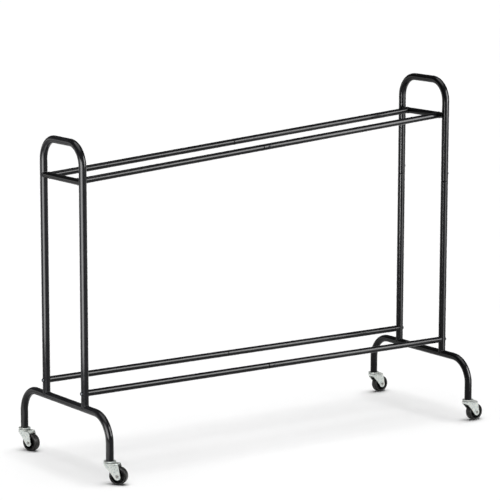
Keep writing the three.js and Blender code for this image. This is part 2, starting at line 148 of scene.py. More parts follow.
def add(tree, kind, inputs=None, stops=(), **settings):
    """Adds a node with its settings and inputs. stops are the (place, colour) pairs of a
    colour ramp, where a plain number stands for a grey."""
    node = tree.nodes.new(kind)
    for name, value in settings.items():
        setattr(node, name, value)
    if stops:
        marks = node.color_ramp.elements
        while len(marks) < len(stops):
            marks.new(0.5)
        for mark, (place, colour) in zip(marks, stops):
            mark.position = place
            mark.color = rgb(colour) if isinstance(colour, str) else (colour, colour, colour, 1)
    plug(node, inputs or {})
    return node


def material(name):
    """A new material; returns it, its tree, its shader and the piece's own coordinates."""
    made = bpy.data.materials.new(name)
    made.use_nodes = True
    tree = made.node_tree
    place = add(tree, "ShaderNodeTexCoord").outputs["Object"]
    return made, tree, tree.nodes["Principled BSDF"], place


print("black coat in linear light", [round(v, 4) for v in rgb("#080809")[:3]])

# %% [markdown]
# ## Gloss black powder coat
# The tubes are sprayed with dry polyester powder and baked, so the film flows out thick
# and shiny but never quite flat: it keeps a soft ripple, two or three millimetres from
# crest to crest, which is called orange peel. It shows as a slight wobble in the long
# highlights. Faint cloudy patches change the gloss where hands and packing have rubbed.
# A clear lacquer's index is near 1.5, but this coat mirrors the white floor only faintly,
# so its index is set lower.

# %% Powder coat
PEEL = 2.6 * MM
powder_coat, tree, shader, place = material("powder_coated_steel_gloss_black")
peel = add(tree, "ShaderNodeTexNoise", {
    "Vector": place, "Scale": 1 / PEEL, "Detail": 2, "Roughness": 0.45})
cloud = add(tree, "ShaderNodeTexNoise", {
    "Vector": place, "Scale": 1 / (70 * MM), "Detail": 3, "Roughness": 0.6})
rub = add(tree, "ShaderNodeTexNoise", {
    "Vector": place, "Scale": 1 / (9 * MM), "Detail": 6, "Roughness": 0.7})
patchy = add(tree, "ShaderNodeMath", {0: cloud, 1: rub}, operation="MULTIPLY")
coat = add(tree, "ShaderNodeValToRGB", {"Fac": cloud}, [(0.3, "#040405"), (0.7, "#080809")])
gloss = add(tree, "ShaderNodeValToRGB", {"Fac": patchy}, [(0.12, 0.13), (0.42, 0.23)])
wobble = add(tree, "ShaderNodeBump", {"Height": peel, "Strength": 0.35, "Distance": 0.02 * MM})
plug(shader, {"Base Color": coat, "Roughness": gloss, "Normal": wobble, "IOR": 1.22})
print(powder_coat.name, "with orange peel every", round(PEEL / MM, 1), "mm")

# %% [markdown]
# ## Bright zinc plate
# The caster's pressings are mild steel, plated with zinc and dipped in a clear blue
# passivate. The plate is a true metal colour, nearly white with a cool green cast, and it
# never has one even gloss: the dip leaves cloudy spots a few millimetres wide that are a
# little warmer or bluer, and the sheet's grain shows through. The grain is drawn half a
# millimetre wide, coarser than it is, because it would be too fine to show.

# %% Zinc plate
zinc_plate, tree, shader, place = material("zinc_plated_steel_clear_passivate")
dip = add(tree, "ShaderNodeTexNoise", {
    "Vector": place, "Scale": 1 / (4.5 * MM), "Detail": 5, "Roughness": 0.6})
grain = add(tree, "ShaderNodeTexNoise", {
    "Vector": place, "Scale": 1 / (0.5 * MM), "Detail": 3, "Roughness": 0.6})
spots = add(tree, "ShaderNodeTexVoronoi", {
    "Vector": place, "Scale": 1 / (2.2 * MM)}, feature="SMOOTH_F1")
dull = add(tree, "ShaderNodeMath", {0: dip, 1: spots}, operation="ADD")
tint = add(tree, "ShaderNodeValToRGB", {"Fac": dip}, [
    (0.32, "#AEB6B5"), (0.5, "#E0E6E2"), (0.68, "#ECEAE1")])
gloss = add(tree, "ShaderNodeValToRGB", {"Fac": dull}, [(0.4, 0.24), (1.2, 0.46)])
sheet = add(tree, "ShaderNodeBump", {"Height": grain, "Strength": 0.3, "Distance": 0.03 * MM})
plug(shader, {"Base Color": tint, "Roughness": gloss, "Normal": sheet, "Metallic": 1})
print(zinc_plate.name)

# %% [markdown]
# ## Black oxide on the screws
# Machine screws are blackened in a hot salt bath and oiled. The layer is a thousandth of
# a millimetre thin, so it is still metal, but dark, and it wears to bare grey steel first
# on the outer edges, where the driver and the packing bag rub. Here the grey is scattered
# in small random spots.

# %% Black oxide
black_oxide, tree, shader, place = material("black_oxide_screw_steel")
salt = add(tree, "ShaderNodeTexNoise", {
    "Vector": place, "Scale": 1 / (0.8 * MM), "Detail": 4, "Roughness": 0.6})
bath = add(tree, "ShaderNodeValToRGB", {"Fac": salt}, [
    (0.35, "#141517"), (0.62, "#26282B"), (0.8, "#4A4D50")])
gloss = add(tree, "ShaderNodeValToRGB", {"Fac": salt}, [(0.3, 0.34), (0.7, 0.55)])
plug(shader, {"Base Color": bath, "Roughness": gloss, "Metallic": 0.85})
print(black_oxide.name)

# %% [markdown]
# ## The wheel's plastic and rubber
# The wheel centre is moulded polypropylene, which comes out of a polished tool glossy,
# with faint flow clouds. The tread is moulded over it in thermoplastic rubber, which is
# a softer, greyer black with a satin skin and a little floor dust rubbed into it. The
# pores of that skin are drawn coarser than they are, so that they show at all. The index
# of both blacks is set low, as the powder coat's is.

# %% Wheel plastic and tread rubber
wheel_plastic, tree, shader, place = material("moulded_polypropylene_gloss_black")
flow = add(tree, "ShaderNodeTexNoise", {
    "Vector": place, "Scale": 1 / (6 * MM), "Detail": 3, "Distortion": 0.8})
cast = add(tree, "ShaderNodeValToRGB", {"Fac": flow}, [(0.3, "#050506"), (0.7, "#09090A")])
gloss = add(tree, "ShaderNodeValToRGB", {"Fac": flow}, [(0.3, 0.24), (0.7, 0.38)])
sink = add(tree, "ShaderNodeBump", {"Height": flow, "Strength": 0.2, "Distance": 0.1 * MM})
plug(shader, {"Base Color": cast, "Roughness": gloss, "Normal": sink, "IOR": 1.3})

tread_rubber, tree, shader, place = material("thermoplastic_rubber_satin_black")
dust = add(tree, "ShaderNodeTexNoise", {
    "Vector": place, "Scale": 1 / (5 * MM), "Detail": 7, "Roughness": 0.7})
skin = add(tree, "ShaderNodeTexNoise", {
    "Vector": place, "Scale": 1 / (0.45 * MM), "Detail": 2})
cast = add(tree, "ShaderNodeValToRGB", {"Fac": dust}, [(0.35, "#060606"), (0.75, "#131211")])
gloss = add(tree, "ShaderNodeValToRGB", {"Fac": dust}, [(0.3, 0.26), (0.75, 0.46)])
pores = add(tree, "ShaderNodeBump", {"Height": skin, "Strength": 0.3, "Distance": 0.05 * MM})
plug(shader, {"Base Color": cast, "Roughness": gloss, "Normal": pores, "IOR": 1.28})
print(wheel_plastic.name, tread_rubber.name)

# %% [markdown]
# ## Nylon and bearing steel
# The socket in each leg is plain nylon with the matt skin of a sparked tool, whose grain
# is drawn coarser than it is. The bearing balls and the riveted axle are bare polished
# steel under a film of oil, which looks darker and warmer than the zinc beside it. On the
# axle that darker colour is also painted shade, standing for the shade round its peened ends.

# %% Nylon and bearing steel
socket_nylon, tree, shader, place = material("moulded_nylon_matt_black")
spark = add(tree, "ShaderNodeTexNoise", {
    "Vector": place, "Scale": 1 / (0.3 * MM), "Detail": 3})
cast = add(tree, "ShaderNodeValToRGB", {"Fac": spark}, [(0.3, "#18181A"), (0.7, "#232326")])
matt = add(tree, "ShaderNodeBump", {"Height": spark, "Strength": 0.4, "Distance": 0.03 * MM})
plug(shader, {"Base Color": cast, "Normal": matt, "Roughness": 0.62, "IOR": 1.53})

oiled_steel_and_painted_shade, tree, shader, place = material("polished_steel_oiled_and_painted_shade")
oil = add(tree, "ShaderNodeTexNoise", {"Vector": place, "Scale": 1 / (1.5 * MM), "Detail": 2})
# Darker than the zinc: the steel's own colour, and on the axle also painted shade.
film = add(tree, "ShaderNodeValToRGB", {"Fac": oil}, [(0.4, "#8F8E88"), (0.7, "#B9BABA")])
gloss = add(tree, "ShaderNodeValToRGB", {"Fac": oil}, [(0.3, 0.12), (0.7, 0.3)])
plug(shader, {"Base Color": film, "Roughness": gloss, "Metallic": 1})
print(socket_nylon.name, oiled_steel_and_painted_shade.name)

# %% [markdown]
# ## The floor and the studio
# The cart stands on a seamless white floor in a studio. Gloss black has almost no colour
# of its own: its shape is told by what it mirrors. The walls here are dark and a bright
# ceiling gives the light, since no tube mirrors the ceiling toward the lens, and yet it
# lights the floor evenly and leaves a soft shadow. The ceiling is a round patch of the
# sky overhead with a soft rim.

# %% Floor and studio
FLOOR_REACH = 60        # metres each way
WALL_GLOW, CEILING_GLOW = 0.15, 5.45
RIM_START, RIM_STOP = 0.88, 0.92        # how steeply upward a direction points, up to 1

floor_mesh = bpy.data.meshes.new("floor")
floor_corners = [(x * FLOOR_REACH, y * FLOOR_REACH, 0)
                 for x, y in ((-1, -1), (1, -1), (1, 1), (-1, 1))]
floor_mesh.from_pydata(floor_corners, [], [(0, 1, 2, 3)])
floor = bpy.data.objects.new("floor", floor_mesh)
scene.collection.objects.link(floor)
floor_paint, tree, shader, place = material("seamless_white_vinyl")
roll = add(tree, "ShaderNodeTexNoise", {"Vector": place, "Scale": 1 / (700 * MM), "Detail": 2})
white = add(tree, "ShaderNodeValToRGB", {"Fac": roll}, [(0.3, "#F5F5F5"), (0.7, "#F9F9F9")])
plug(shader, {"Base Color": white, "Roughness": 0.8})
floor_mesh.materials.append(floor_paint)

world = bpy.data.worlds.new("studio")
world.use_nodes = True
tree = world.node_tree
toward = add(tree, "ShaderNodeSeparateXYZ", {
    0: add(tree, "ShaderNodeTexCoord").outputs["Generated"]})
ceiling = add(tree, "ShaderNodeMapRange", {
    "Value": toward.outputs["Z"], "From Min": RIM_START, "From Max": RIM_STOP,
    "To Min": WALL_GLOW, "To Max": CEILING_GLOW})
seen = add(tree, "ShaderNodeLightPath").outputs["Is Camera Ray"]
glow = add(tree, "ShaderNodeMix", {"Factor": seen, "A": ceiling, "B": 1.0})
plug(tree.nodes["Background"], {"Color": rgb("#FFFFFF"), "Strength": glow})
scene.world = world
scene.view_settings.view_transform = "Standard"
print("a ceiling of", CEILING_GLOW, "over walls of", WALL_GLOW)

# %% [markdown]
# ## Lamps for the tubes, screws and treads
# A wide card at the left end draws the broad soft band on the near posts, and a narrow
# beam from the same place reaches the far ones. A card at the right end lights their
# other side, a panel on the floor grazes the legs, a wide softbox in front and to the
# right draws the line along the rails, and a faint card far behind keeps the rear edges
# from going dead. These lamps would bleach the floor, the plating and the glossy wheel
# centres, so they are kept off them, as flags do it on a real set. The lamps at the left
# end are kept off the rails and cross bars too, since a rail seen nearly along its length
# would mirror them as a white streak. In Blender a lamp is linked to a collection of the
# things that it lights, or passes by.

# %% Lamps
no_lamp = bpy.data.collections.new("lit by the studio alone")
no_left_lamp = bpy.data.collections.new("kept from the lamps of the left end")
no_far_lamp = bpy.data.collections.new("kept from the lamp that reaches the right end")


def keep_off(thing, *groups):
    """Adds one thing to the groups of things that a lamp passes by."""
    for group in groups:
        group.objects.link(thing)
        added = group.collection_objects[len(group.objects) - 1]
        added.light_linking.link_state = "EXCLUDE"


def softbox(name, place, aim, width, height, radiance, spread=180, passes_by=no_lamp):
    """A soft rectangular light that faces a point and passes by a group of things."""
    lamp = bpy.data.lights.new(name, "AREA")
    lamp.shape = "RECTANGLE"
    lamp.size, lamp.size_y = width, height
    lamp.energy = radiance * math.pi * width * height
    lamp.spread = math.radians(spread)
    light = bpy.data.objects.new(name, lamp)
    light.location = place
    light.rotation_euler = (Vector(aim) - Vector(place)).to_track_quat("-Z", "Y").to_euler()
    light.visible_camera = False
    light.light_linking.receiver_collection = passes_by
    scene.collection.objects.link(light)


keep_off(floor, no_lamp, no_left_lamp, no_far_lamp)
softbox("left_card", (-1.4, -0.36, 0.62), (-0.665, -0.05, 0.62),
        width=1.0, height=0.95, radiance=7.6, spread=90, passes_by=no_left_lamp)
softbox("far_card", (-1.4, -0.36, 0.5), (-0.665, 0.015, 0.56),
        width=0.9, height=0.7, radiance=3.3, spread=30, passes_by=no_far_lamp)
softbox("floor_panel", (-1.12, -0.12, 0.004), (-1.12, -0.12, 1),
        width=0.45, height=0.95, radiance=4.5, passes_by=no_left_lamp)
softbox("rail_softbox", (1.75, -2.5, 1.8), (0.3, 0, 0.9), width=1.9, height=2.2, radiance=26)
softbox("right_card", (0.905, -0.845, 0.5), (0.78, 0, 0.5),
        width=0.4, height=1.1, radiance=3.3, spread=80)
softbox("rear_card", (-5.2, 7.4, 0.8), (0, 0, 0.6), width=4.5, height=2.0, radiance=2.2)

# %% [markdown]
# ## Making and seating a piece
# A piece is a plain mesh whose object stays at the origin, with its place in its points,
# so that a pattern laid on object coordinates keeps its real size and stays put. Edges
# sharper than a given angle are kept crisp and everything else is shaded smooth, as a
# rolled tube is. Each piece is then hung on the body it moves with, and it takes the
# place of the solid it covers.

# %% Helpers for pieces
CRISP = 35      # degrees between two faces, past which their edge stays sharp


def new_piece(name, mesh, finish=None, crisp=CRISP):
    """An object at the origin for a finished mesh, with its sharp edges marked."""
    if finish:
        mesh.materials.clear()
        mesh.materials.append(finish)
    mesh.polygons.foreach_set("use_smooth", [True] * len(mesh.polygons))
    mesh.set_sharp_from_angle(angle=math.radians(crisp))
    piece = bpy.data.objects.new(name, mesh)
    scene.collection.objects.link(piece)
    return piece


def seat(piece, body, slot, *nodes):
    """Hangs a piece on its body and lets it stand for the solids that it covers. Which
    lamps pass it by follows from its slot and from where it is."""
    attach(piece, body)
    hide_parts(*nodes)
    if slot not in ("black_paint", "black_screw", "tyre_rubber"):
        keep_off(piece, no_lamp, no_left_lamp, no_far_lamp)
    elif "_rail_" in piece.name or "_bar_" in piece.name:
        keep_off(piece, no_left_lamp, no_far_lamp)
    elif slot == "black_paint":
        keep_off(piece, no_left_lamp if "right" in piece.name else no_far_lamp)
    print(piece.name, "on", body, len(piece.data.polygons), "faces")


print("edges stay crisp past", CRISP, "degrees")

# %% [markdown]
# ## Turned parts and coped ends
# A lathe, a die and a rolled tube all give round parts, and these are a profile turned
# about an axis. Where one tube ends on another, its end is coped: cut to the round of
# the other tube so that it sits close. On the mesh each point of the end ring is moved
# along the tube until it touches the other tube's skin.

# %% Helpers for turned parts
def closed_mesh(name, shape):
    """A mesh from a closed shape, with every face turned outward."""
    bmesh.ops.recalc_face_normals(shape, faces=shape.faces)
    mesh = bpy.data.meshes.new(name)
    shape.to_mesh(mesh)
    shape.free()
    return mesh


def turned(name, profile, sides):
    """A mesh turned about Z from (radius, height) pairs, closed on itself or on the axis."""
    shape = bmesh.new()
    angles = [2 * math.pi * i / sides for i in range(sides)]
    rings = []
    for radius, height in profile:
        rings.append([shape.verts.new((radius * math.cos(a), radius * math.sin(a), height))
                      for a in (angles if radius > 0 else [0.0])])
    pairs = list(zip(rings, rings[1:]))
    if len(rings[0]) > 1:
        pairs.append((rings[-1], rings[0]))
    for low, high in pairs:
        for i in range(sides):
            j = (i + 1) % sides
            face = [low[i % len(low)], low[j % len(low)], high[j % len(high)], high[i % len(high)]]
            shape.faces.new(list(dict.fromkeys(face)))
    return closed_mesh(name, shape)


def cope(mesh, level, radius, along, across, middle=0.0, away=1):
    """Shapes the end of a tube to sit round another: along is the tube's axis, across the
    direction square to both tubes, and away says which way the tube leaves the other."""
    for vertex in mesh.vertices:
        if abs(vertex.co[along] - level) < 1e-6:
            offset = min(abs(vertex.co[across] - middle), radius)
            vertex.co[along] = level + away * math.sqrt(radius ** 2 - offset ** 2)


scoop = POST_RADIUS - math.sqrt(POST_RADIUS ** 2 - RAIL_RADIUS ** 2)
print("a cross bar is scooped", round(scoop / MM, 1), "mm deep to sit round a post")

# %% [markdown]
# ## Growing shapes with Geometry Nodes
# A shape that follows a rule is grown by a node tree: bent tube from its corner points,
# weld beads from the two radii that meet, screws and bearing balls from the points where
# they sit. The sizes are named inputs of the tree. The result is turned into a plain mesh
# straight away, so that nothing depends on the tree afterwards.

# %% Helpers for node trees
def geometry_tree(name, sizes):
    """A tree that takes a geometry and named sizes; returns it and its input sockets."""
    tree = bpy.data.node_groups.new(name, "GeometryNodeTree")
    tree.interface.new_socket("Geometry", in_out="INPUT", socket_type="NodeSocketGeometry")
    for label, kind in sizes.items():
        tree.interface.new_socket(label, in_out="INPUT", socket_type="NodeSocket" + kind)
    tree.interface.new_socket("Geometry", in_out="OUTPUT", socket_type="NodeSocketGeometry")
    return tree, add(tree, "NodeGroupInput").outputs


def close_tree(tree, geometry, finish):
    """The end of each tree: real points in place of instances, and the material."""
    real = add(tree, "GeometryNodeRealizeInstances", {"Geometry": geometry})
    coated = add(tree, "GeometryNodeSetMaterial", {"Geometry": real, "Material": finish})
    add(tree, "NodeGroupOutput", {"Geometry": coated})
    print(tree.name, "tree has", len(tree.nodes), "nodes")


def grow(name, tree, base, sizes, crisp=CRISP):
    """Runs a tree on a base mesh and returns the result as a piece with a plain mesh."""
    carrier = bpy.data.objects.new(name, base)
    scene.collection.objects.link(carrier)
    modifier = carrier.modifiers.new("grow", "NODES")
    modifier.node_group = tree
    for item in tree.interface.items_tree:
        if item.in_out == "INPUT" and item.name in sizes:
            modifier[item.identifier] = sizes[item.name]
    graph = bpy.context.evaluated_depsgraph_get()
    mesh = bpy.data.meshes.new_from_object(carrier.evaluated_get(graph))
    carrier.modifiers.remove(modifier)
    bpy.data.objects.remove(carrier)
    return new_piece(name, mesh, crisp=crisp)


print("tree helpers ready")

# %% [markdown]
# ## Bent tube
# A tube bender draws straight tube round a former, so a hoop is straight runs joined by
# arcs of one radius. The tree takes the corner points of the run, rounds each corner with
# that radius, and sweeps a circle along it. The sweep closes each end with one large
# face, the only faces with more than four corners. That face is drawn in to the bore and
# pushed back, which leaves an open mouth with the thickness of the real wall.

# %% Tree of the bent tube
bent_tube, given = geometry_tree("bent tube", {
    "Tube Radius": "Float", "Bore Ratio": "Float", "Mouth Depth": "Float",
    "Bend Radius": "Float", "Bend Steps": "Int", "Sides": "Int", "Finish": "Material"})
route = add(bent_tube, "GeometryNodeMeshToCurve", {"Mesh": given["Geometry"]})
rounded = add(bent_tube, "GeometryNodeFilletCurve", {
    "Curve": route, "Count": given["Bend Steps"], "Radius": given["Bend Radius"]}, mode="POLY")
section = add(bent_tube, "GeometryNodeCurvePrimitiveCircle", {
    "Resolution": given["Sides"], "Radius": given["Tube Radius"]})
skin = add(bent_tube, "GeometryNodeCurveToMesh", {
    "Curve": rounded, "Profile Curve": section, "Fill Caps": True})
corners = add(bent_tube, "GeometryNodeInputMeshFaceNeighbors")
is_cap = add(bent_tube, "FunctionNodeCompare", {"A": corners.outputs["Vertex Count"], "B": 4.5})
rim = add(bent_tube, "GeometryNodeExtrudeMesh", {
    "Mesh": skin, "Selection": is_cap, "Offset Scale": 0.0, "Individual": False})
bore = add(bent_tube, "GeometryNodeScaleElements", {
    "Geometry": rim, "Selection": rim.outputs["Top"], "Scale": given["Bore Ratio"]})
depth = add(bent_tube, "ShaderNodeMath", {
    0: given["Mouth Depth"], 1: -1.0}, operation="MULTIPLY")
mouth = add(bent_tube, "GeometryNodeExtrudeMesh", {
    "Mesh": bore, "Selection": rim.outputs["Top"], "Offset Scale": depth, "Individual": False})
close_tree(bent_tube, mouth, given["Finish"])

# %% [markdown]
# ## Feet and hoops
# Each foot is one tube bent down at both ends, and its open ends take the caster sockets.
# The left hoop is one tube from the foot over the top and back. The right end is taller
# than a parcel allows, so its hoop is a separate U that drops onto two posts.

# %% Feet and hoops
SPLICE_SEAM = 730 * MM      # the height at which the right hoop meets its posts


def hoop(name, end, half_width, lower, top, bend):
    """An upside-down U of tube across one end of the cart."""
    x = ENDS[end] * HALF_LENGTH
    run = [(x, -half_width, lower), (x, -half_width, top),
           (x, half_width, top), (x, half_width, lower)]
    base = bpy.data.meshes.new(name)
    base.from_pydata([MIDDLE + Vector(corner) for corner in run], [(0, 1), (1, 2), (2, 3)], [])
    return grow(name, bent_tube, base, {
        "Tube Radius": POST_RADIUS, "Bore Ratio": 1 - POST_WALL / POST_RADIUS,
        "Mouth Depth": 40 * MM, "Bend Radius": bend, "Bend Steps": 20, "Sides": 48,
        "Finish": powder_coat})


for end in ENDS:
    foot = hoop(f"{end}_foot_bent", end, HALF_FEET, LEG_END, FOOT_HEIGHT, FOOT_BEND)
    seat(foot, "frame", "black_paint", f"{end}_foot_tube")

left_hoop = hoop("left_hoop_bent", "left", HALF_POSTS, FOOT_HEIGHT, HOOP_TOP["left"], HOOP_BEND)
cope(left_hoop.data, FOOT_HEIGHT, POST_RADIUS, 2, 0, MIDDLE.x - HALF_LENGTH)
seat(left_hoop, "frame", "black_paint", "left_end_hoop")

right_hoop = hoop("right_hoop_bent", "right", HALF_POSTS, SPLICE_SEAM, HOOP_TOP["right"],
                  HOOP_BEND)
seat(right_hoop, "frame", "black_paint", "right_top_hoop")

# %% [markdown]
# ## Straight tubes with swaged ends
# Long tubes are made in two, and one end of each pair is swaged: squeezed down in a die
# until it slides inside the other. What shows is a fine groove where the drawn shoulder
# turns in under the next tube's mouth. A turned profile gives the shoulder, the spigot
# and the bore in one closed shape. One more ring just before the shoulder keeps the long
# straight run truly straight, or the smooth shading would bend its highlight too.

# %% Posts and cross bars
TUBE_SIDES = 40
SPIGOT = 45 * MM
SPIGOT_GAP = 0.5 * MM
SWAGE = 3.2 * MM            # the length of the drawn shoulder
SWAGE_STEPS = 6
RING_BEFORE = 1 * MM


def straight_tube(name, start, stop, radius, wall, spigot=False):
    """A tube along Z, with a swaged spigot at its upper end where that is asked for."""
    if not spigot:
        profile = [(radius, start), (radius, stop), (radius - wall, stop), (radius - wall, start)]
        return turned(name, profile, TUBE_SIDES)
    thin = radius - wall - SPIGOT_GAP
    turns = [math.pi * i / SWAGE_STEPS for i in range(SWAGE_STEPS + 1)]
    shoulder = [(thin + (radius - thin) * (1 + math.cos(a)) / 2, stop - SWAGE * (1 - a / math.pi))
                for a in turns]
    outside = [(radius, start), (radius, stop - SWAGE - RING_BEFORE)] + shoulder
    inside = [(thin, stop + SPIGOT), (thin - wall, stop + SPIGOT), (thin - wall, stop - wall),
              (radius - wall, stop - SWAGE - wall), (radius - wall, start)]
    return turned(name, outside + inside, TUBE_SIDES)


for side, y in SIDES.items():
    post = straight_tube(f"right_{side}_post_tube", 0, SPLICE_SEAM - FOOT_HEIGHT,
                         POST_RADIUS, POST_WALL, spigot=True)
    cope(post, 0, POST_RADIUS, 2, 0)
    post.transform(Matrix.Translation(
        MIDDLE + Vector((HALF_LENGTH, y * HALF_POSTS, FOOT_HEIGHT))))
    seat(new_piece(post.name, post, powder_coat), "frame", "black_paint", f"right_{side}_post")

for end, x in ENDS.items():
    bar = straight_tube(f"{end}_cross_bar_tube", -HALF_POSTS, HALF_POSTS, RAIL_RADIUS, RAIL_WALL)
    cope(bar, -HALF_POSTS, POST_RADIUS, 2, 0)
    cope(bar, HALF_POSTS, POST_RADIUS, 2, 0, away=-1)
    bar.transform(Matrix.Translation(MIDDLE + Vector((x * HALF_LENGTH, 0, UPPER_RAIL[end])))
                  @ Matrix.Rotation(-QUARTER, 4, "X"))
    seat(new_piece(bar.name, bar, powder_coat), "frame", "black_paint", f"{end}_cross_bar")

# %% [markdown]
# ## Rails
# Each rail is two tubes that meet near the middle of the cart. The upper pair is welded
# to the cross bars and slopes with the deck. The lower pair is level and bolted between
# the posts, so its ends are scooped to sit round them and show a fine dark line there.

# %% Rails
SEAM = -15 * MM                 # where the halves meet, from the middle of the frame
LINE_AT_POST = 0.25 * MM
DECK_REACH = HALF_LENGTH / math.cos(SLOPE)
DECK_HEIGHT = (UPPER_RAIL["left"] + UPPER_RAIL["right"]) / 2


def rail(tier, side, end):
    """One half of a rail, made along Z and then laid along the cart."""
    upper = tier == "upper"
    reach = DECK_REACH if upper else HALF_LENGTH
    other = RAIL_RADIUS if upper else POST_RADIUS + LINE_AT_POST
    name = f"{tier}_{side}_rail_{end}_tube"
    if end == "left":
        mesh = straight_tube(name, -reach, SEAM, RAIL_RADIUS, RAIL_WALL, spigot=True)
        cope(mesh, -reach, other, 2, 0 if upper else 1)
    else:
        mesh = straight_tube(name, SEAM, reach, RAIL_RADIUS, RAIL_WALL)
        cope(mesh, reach, other, 2, 0 if upper else 1, away=-1)
    y = SIDES[side] * (HALF_DECK if upper else HALF_POSTS)
    tilt = Matrix.Rotation(-SLOPE, 4, "Y") if upper else Matrix.Identity(4)
    spot = MIDDLE + Vector((0, y, DECK_HEIGHT if upper else LOWER_RAIL))
    mesh.transform(Matrix.Translation(spot) @ tilt @ Matrix.Rotation(QUARTER, 4, "Y"))
    seat(new_piece(name, mesh, powder_coat), "frame", "black_paint", f"{tier}_{side}_rail_{end}")


for tier in ("upper", "lower"):
    for side in SIDES:
        for end in ENDS:
            rail(tier, side, end)

# %% [markdown]
# ## Weld beads
# A coped tube is joined by running a bead of weld round the line where the two tubes
# meet. That line is a circle bent over the other tube: its height at any point is what a
# right-angled triangle leaves of the other tube's radius. The bead freezes in small
# overlapping ripples, about two millimetres apart, and the powder coat rounds them over.
# The tree bends a circle by that rule and swells the swept bead once in every ripple.

# %% Tree of the weld bead
SWELL = 0.14            # how much a ripple stands out, as a share of the bead
STEPS_PER_RIPPLE = 5.0


def scatter(tree, points, instance):
    """Places one instance on every point, turned as the point's attribute says."""
    stored = add(tree, "GeometryNodeInputNamedAttribute", {"Name": "turn"},
                 data_type="FLOAT_VECTOR")
    turn = add(tree, "FunctionNodeEulerToRotation", {"Euler": stored.outputs["Attribute"]})
    return add(tree, "GeometryNodeInstanceOnPoints", {
        "Points": points, "Instance": instance, "Rotation": turn})


weld_bead, given = geometry_tree("weld bead", {
    "Branch Radius": "Float", "Main Radius": "Float", "Bead Radius": "Float",
    "Ripple": "Float", "Finish": "Material"})
ring = add(weld_bead, "GeometryNodeCurvePrimitiveCircle", {
    "Resolution": 128, "Radius": given["Branch Radius"]})
flat = add(weld_bead, "ShaderNodeSeparateXYZ", {0: add(weld_bead, "GeometryNodeInputPosition")})
side_square = add(weld_bead, "ShaderNodeMath", {0: flat.outputs["Y"], 1: 2.0}, operation="POWER")
main_square = add(weld_bead, "ShaderNodeMath", {
    0: given["Main Radius"], 1: 2.0}, operation="POWER")
left_over = add(weld_bead, "ShaderNodeMath", {
    0: main_square, 1: side_square}, operation="SUBTRACT")
not_below = add(weld_bead, "ShaderNodeMath", {0: left_over, 1: 0.0}, operation="MAXIMUM")
height = add(weld_bead, "ShaderNodeMath", {0: not_below, 1: 0.5}, operation="POWER")
lift = add(weld_bead, "ShaderNodeCombineXYZ", {"Z": height})
saddle = add(weld_bead, "GeometryNodeSetPosition", {"Geometry": ring, "Offset": lift})
step = add(weld_bead, "ShaderNodeMath", {
    0: given["Ripple"], 1: STEPS_PER_RIPPLE}, operation="DIVIDE")
line = add(weld_bead, "GeometryNodeResampleCurve", {"Curve": saddle, "Length": step},
           mode="LENGTH")
run = add(weld_bead, "GeometryNodeSplineParameter")
count = add(weld_bead, "ShaderNodeMath", {
    0: run.outputs["Length"], 1: given["Ripple"]}, operation="DIVIDE")
phase = add(weld_bead, "ShaderNodeMath", {0: count, 1: 2 * math.pi}, operation="MULTIPLY")
wave = add(weld_bead, "ShaderNodeMath", {0: phase}, operation="SINE")
swell = add(weld_bead, "ShaderNodeMath", {0: wave, 1: SWELL, 2: 1.0}, operation="MULTIPLY_ADD")
bead_section = add(weld_bead, "GeometryNodeCurvePrimitiveCircle", {
    "Resolution": 10, "Radius": given["Bead Radius"]})
bead = add(weld_bead, "GeometryNodeCurveToMesh", {
    "Curve": line, "Profile Curve": bead_section, "Scale": swell})
close_tree(weld_bead, scatter(weld_bead, given["Geometry"], bead), given["Finish"])

# %% [markdown]
# Twelve joints are welded: the posts on the feet, the cross bars between the posts, and
# the upper rails on the cross bars. Each is one loose point that carries its own turn,
# and beads with the same two radii are grown together.

# %% Weld beads where the tubes meet
def spots_at(name, places):
    """A mesh of loose points, each with the turn that a copy placed there takes."""
    mesh = bpy.data.meshes.new(name)
    mesh.from_pydata([spot for spot, turn in places], [], [])
    turns = mesh.attributes.new("turn", "FLOAT_VECTOR", "POINT")
    turns.data.foreach_set("vector", [value for spot, turn in places for value in turn])
    return mesh


def weld(place, main, branch):
    """One point of the bead: X lies along the tube that is met, Z leaves it."""
    main, branch = Vector(main), Vector(branch)
    turn = Matrix((main, branch.cross(main), branch)).transposed()
    return MIDDLE + Vector(place), tuple(turn.to_euler())


deck_run = Vector((math.cos(SLOPE), 0, math.sin(SLOPE)))
welds = {"foot": [], "bar": [], "deck": []}
for end, x in ENDS.items():
    for y in SIDES.values():
        post = (x * HALF_LENGTH, y * HALF_POSTS)
        rail_end = (x * HALF_LENGTH, y * HALF_DECK, UPPER_RAIL[end])
        welds["foot"].append(weld((*post, FOOT_HEIGHT), (0, 1, 0), (0, 0, 1)))
        welds["bar"].append(weld((*post, UPPER_RAIL[end]), (0, 0, 1), (0, -y, 0)))
        welds["deck"].append(weld(rail_end, (0, 1, 0), -x * deck_run))

for group, branch_radius, main_radius in (("foot", POST_RADIUS, POST_RADIUS),
                                          ("bar", RAIL_RADIUS, POST_RADIUS),
                                          ("deck", RAIL_RADIUS, RAIL_RADIUS)):
    beads = grow(f"{group}_weld_beads", weld_bead, spots_at(group, welds[group]), {
        "Branch Radius": branch_radius, "Main Radius": main_radius, "Bead Radius": 1.4 * MM,
        "Ripple": 2.2 * MM, "Finish": powder_coat}, crisp=60)
    seat(beads, "frame", "black_paint")

# %% [markdown]
# ## Screws and bolts
# The joints are locked with two kinds of screw. A pan head with a cross recess holds each
# splice, and a button head with a hexagon socket pulls each lower rail against its post.
# Both are a low dome on a short cylinder with a recess punched in, so one tree makes the
# two: a sphere trims a cylinder to a dome, and the recess is taken away with a Boolean.

# %% Tree of the screws, and its domed head
HEAD_SIDES = 40
SHANK_SIDES = 20
SLOT_SHARE = 0.24       # the width of one slot of the cross, to its length
PUNCH_SHARE = 0.95      # the middle of the punch, to the height of the head
SHANK_SHARE = -0.49     # the middle of the shank, to its length: it just enters the head


